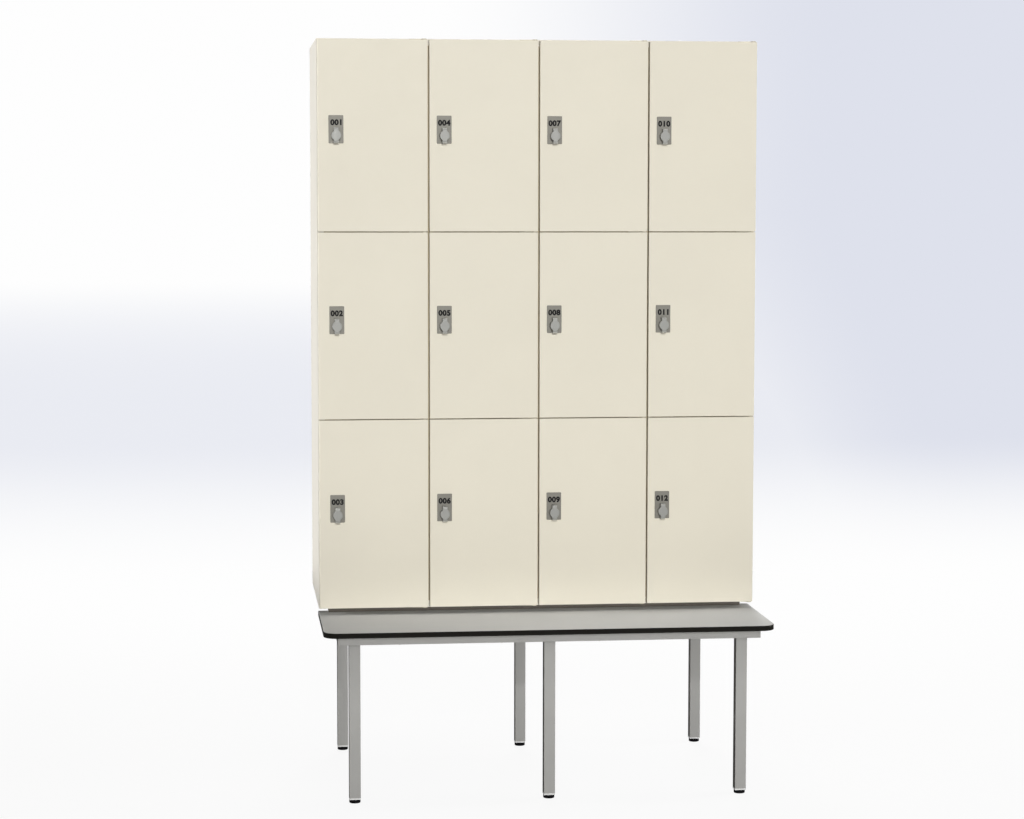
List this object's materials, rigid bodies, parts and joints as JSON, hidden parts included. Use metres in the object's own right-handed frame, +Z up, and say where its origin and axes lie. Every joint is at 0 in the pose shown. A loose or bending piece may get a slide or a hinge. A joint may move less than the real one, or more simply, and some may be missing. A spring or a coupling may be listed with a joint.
{
  "type": "locker with bench",
  "caption": "Cloakroom locker cabinet with rows of numbered laminate doors, turn-knob locks and a grey seat board in front, all on a square-tube steel frame.",
  "frame": {"origin": "on the floor under the middle of the overall box", "axes": "+Z up, +Y from the doors towards the back, +X to the right when facing the doors"},
  "size_m": [1.2, 0.8, 2.022],
  "materials": {
    "door_laminate": "matt cream laminate",
    "carcass_board": "matt white laminate",
    "base_board": "dark laminate",
    "bench_laminate": "grey compact laminate with a dark core",
    "bedding_rubber": "plain",
    "frame_steel": "silver-grey powder coat",
    "collar_plastic": "light grey",
    "foot_plastic": "black",
    "pivot_steel": "zinc plated",
    "buffer_rubber": "soft",
    "lock_metal": "satin grey",
    "knob_metal": "satin silver"
  },
  "bodies": {
    "locker": {"side_panel_left": "carcass_board", "side_panel_right": "carcass_board", "top_panel": "carcass_board", "bottom_panel": "carcass_board", "back_panel": "carcass_board", "partitions": "carcass_board", "shelves_lower": "carcass_board", "shelves_upper": "carcass_board", "cabinet_base": "base_board", "rear_packer": "base_board", "bench_board": "bench_laminate", "bench_strips": "bedding_rubber", "rail_front": "frame_steel", "rail_rear": "frame_steel", "rails_depth": "frame_steel", "legs_front": "frame_steel", "legs_rear": "frame_steel", "leg_collars": "collar_plastic", "foot_glides": "foot_plastic", "pivot_brackets": "pivot_steel", "pivot_pins": "pivot_steel", "door_buffers": "buffer_rubber", "strike_plates": "pivot_steel"},
    "door_01": {"door_01": "door_laminate", "lock_01": "lock_metal"},
    "latch_01": {"turn_latch_01": "knob_metal"},
    "door_02": {"door_02": "door_laminate", "lock_02": "lock_metal"},
    "latch_02": {"turn_latch_02": "knob_metal"},
    "door_03": {"door_03": "door_laminate", "lock_03": "lock_metal"},
    "latch_03": {"turn_latch_03": "knob_metal"},
    "door_04": {"door_04": "door_laminate", "lock_04": "lock_metal"},
    "latch_04": {"turn_latch_04": "knob_metal"},
    "door_05": {"door_05": "door_laminate", "lock_05": "lock_metal"},
    "latch_05": {"turn_latch_05": "knob_metal"},
    "door_06": {"door_06": "door_laminate", "lock_06": "lock_metal"},
    "latch_06": {"turn_latch_06": "knob_metal"},
    "door_07": {"door_07": "door_laminate", "lock_07": "lock_metal"},
    "latch_07": {"turn_latch_07": "knob_metal"},
    "door_08": {"door_08": "door_laminate", "lock_08": "lock_metal"},
    "latch_08": {"turn_latch_08": "knob_metal"},
    "door_09": {"door_09": "door_laminate", "lock_09": "lock_metal"},
    "latch_09": {"turn_latch_09": "knob_metal"},
    "door_10": {"door_10": "door_laminate", "lock_10": "lock_metal"},
    "latch_10": {"turn_latch_10": "knob_metal"},
    "door_11": {"door_11": "door_laminate", "lock_11": "lock_metal"},
    "latch_11": {"turn_latch_11": "knob_metal"},
    "door_12": {"door_12": "door_laminate", "lock_12": "lock_metal"},
    "latch_12": {"turn_latch_12": "knob_metal"}
  },
  "joints": [
    {"name": "door_01_swing", "type": "hinge", "parent": "locker", "child": "door_01", "pos_m": [-0.311, -0.091, 1.76225], "axis": [0, 0, 1], "range_deg": [0, 105]},
    {"name": "latch_01_turn", "type": "hinge", "parent": "door_01", "child": "latch_01", "pos_m": [-0.549, -0.1, 1.76225], "axis": [0, 1, 0], "range_deg": [0, 90]},
    {"name": "door_02_swing", "type": "hinge", "parent": "locker", "child": "door_02", "pos_m": [-0.311, -0.091, 1.2505], "axis": [0, 0, 1], "range_deg": [0, 105]},
    {"name": "latch_02_turn", "type": "hinge", "parent": "door_02", "child": "latch_02", "pos_m": [-0.549, -0.1, 1.2505], "axis": [0, 1, 0], "range_deg": [0, 90]},
    {"name": "door_03_swing", "type": "hinge", "parent": "locker", "child": "door_03", "pos_m": [-0.311, -0.091, 0.73875], "axis": [0, 0, 1], "range_deg": [0, 105]},
    {"name": "latch_03_turn", "type": "hinge", "parent": "door_03", "child": "latch_03", "pos_m": [-0.549, -0.1, 0.73875], "axis": [0, 1, 0], "range_deg": [0, 90]},
    {"name": "door_04_swing", "type": "hinge", "parent": "locker", "child": "door_04", "pos_m": [-0.011, -0.091, 1.76225], "axis": [0, 0, 1], "range_deg": [0, 105]},
    {"name": "latch_04_turn", "type": "hinge", "parent": "door_04", "child": "latch_04", "pos_m": [-0.258, -0.1, 1.76225], "axis": [0, 1, 0], "range_deg": [0, 90]},
    {"name": "door_05_swing", "type": "hinge", "parent": "locker", "child": "door_05", "pos_m": [-0.011, -0.091, 1.2505], "axis": [0, 0, 1], "range_deg": [0, 105]},
    {"name": "latch_05_turn", "type": "hinge", "parent": "door_05", "child": "latch_05", "pos_m": [-0.258, -0.1, 1.2505], "axis": [0, 1, 0], "range_deg": [0, 90]},
    {"name": "door_06_swing", "type": "hinge", "parent": "locker", "child": "door_06", "pos_m": [-0.011, -0.091, 0.73875], "axis": [0, 0, 1], "range_deg": [0, 105]},
    {"name": "latch_06_turn", "type": "hinge", "parent": "door_06", "child": "latch_06", "pos_m": [-0.258, -0.1, 0.73875], "axis": [0, 1, 0], "range_deg": [0, 90]},
    {"name": "door_07_swing", "type": "hinge", "parent": "locker", "child": "door_07", "pos_m": [0.289, -0.091, 1.76225], "axis": [0, 0, 1], "range_deg": [0, 105]},
    {"name": "latch_07_turn", "type": "hinge", "parent": "door_07", "child": "latch_07", "pos_m": [0.042, -0.1, 1.76225], "axis": [0, 1, 0], "range_deg": [0, 90]},
    {"name": "door_08_swing", "type": "hinge", "parent": "locker", "child": "door_08", "pos_m": [0.289, -0.091, 1.2505], "axis": [0, 0, 1], "range_deg": [0, 105]},
    {"name": "latch_08_turn", "type": "hinge", "parent": "door_08", "child": "latch_08", "pos_m": [0.042, -0.1, 1.2505], "axis": [0, 1, 0], "range_deg": [0, 90]},
    {"name": "door_09_swing", "type": "hinge", "parent": "locker", "child": "door_09", "pos_m": [0.289, -0.091, 0.73875], "axis": [0, 0, 1], "range_deg": [0, 105]},
    {"name": "latch_09_turn", "type": "hinge", "parent": "door_09", "child": "latch_09", "pos_m": [0.042, -0.1, 0.73875], "axis": [0, 1, 0], "range_deg": [0, 90]},
    {"name": "door_10_swing", "type": "hinge", "parent": "locker", "child": "door_10", "pos_m": [0.589, -0.091, 1.76225], "axis": [0, 0, 1], "range_deg": [0, 105]},
    {"name": "latch_10_turn", "type": "hinge", "parent": "door_10", "child": "latch_10", "pos_m": [0.342, -0.1, 1.76225], "axis": [0, 1, 0], "range_deg": [0, 90]},
    {"name": "door_11_swing", "type": "hinge", "parent": "locker", "child": "door_11", "pos_m": [0.589, -0.091, 1.2505], "axis": [0, 0, 1], "range_deg": [0, 105]},
    {"name": "latch_11_turn", "type": "hinge", "parent": "door_11", "child": "latch_11", "pos_m": [0.342, -0.1, 1.2505], "axis": [0, 1, 0], "range_deg": [0, 90]},
    {"name": "door_12_swing", "type": "hinge", "parent": "locker", "child": "door_12", "pos_m": [0.589, -0.091, 0.73875], "axis": [0, 0, 1], "range_deg": [0, 105]},
    {"name": "latch_12_turn", "type": "hinge", "parent": "door_12", "child": "latch_12", "pos_m": [0.342, -0.1, 0.73875], "axis": [0, 1, 0], "range_deg": [0, 90]}
  ]
}
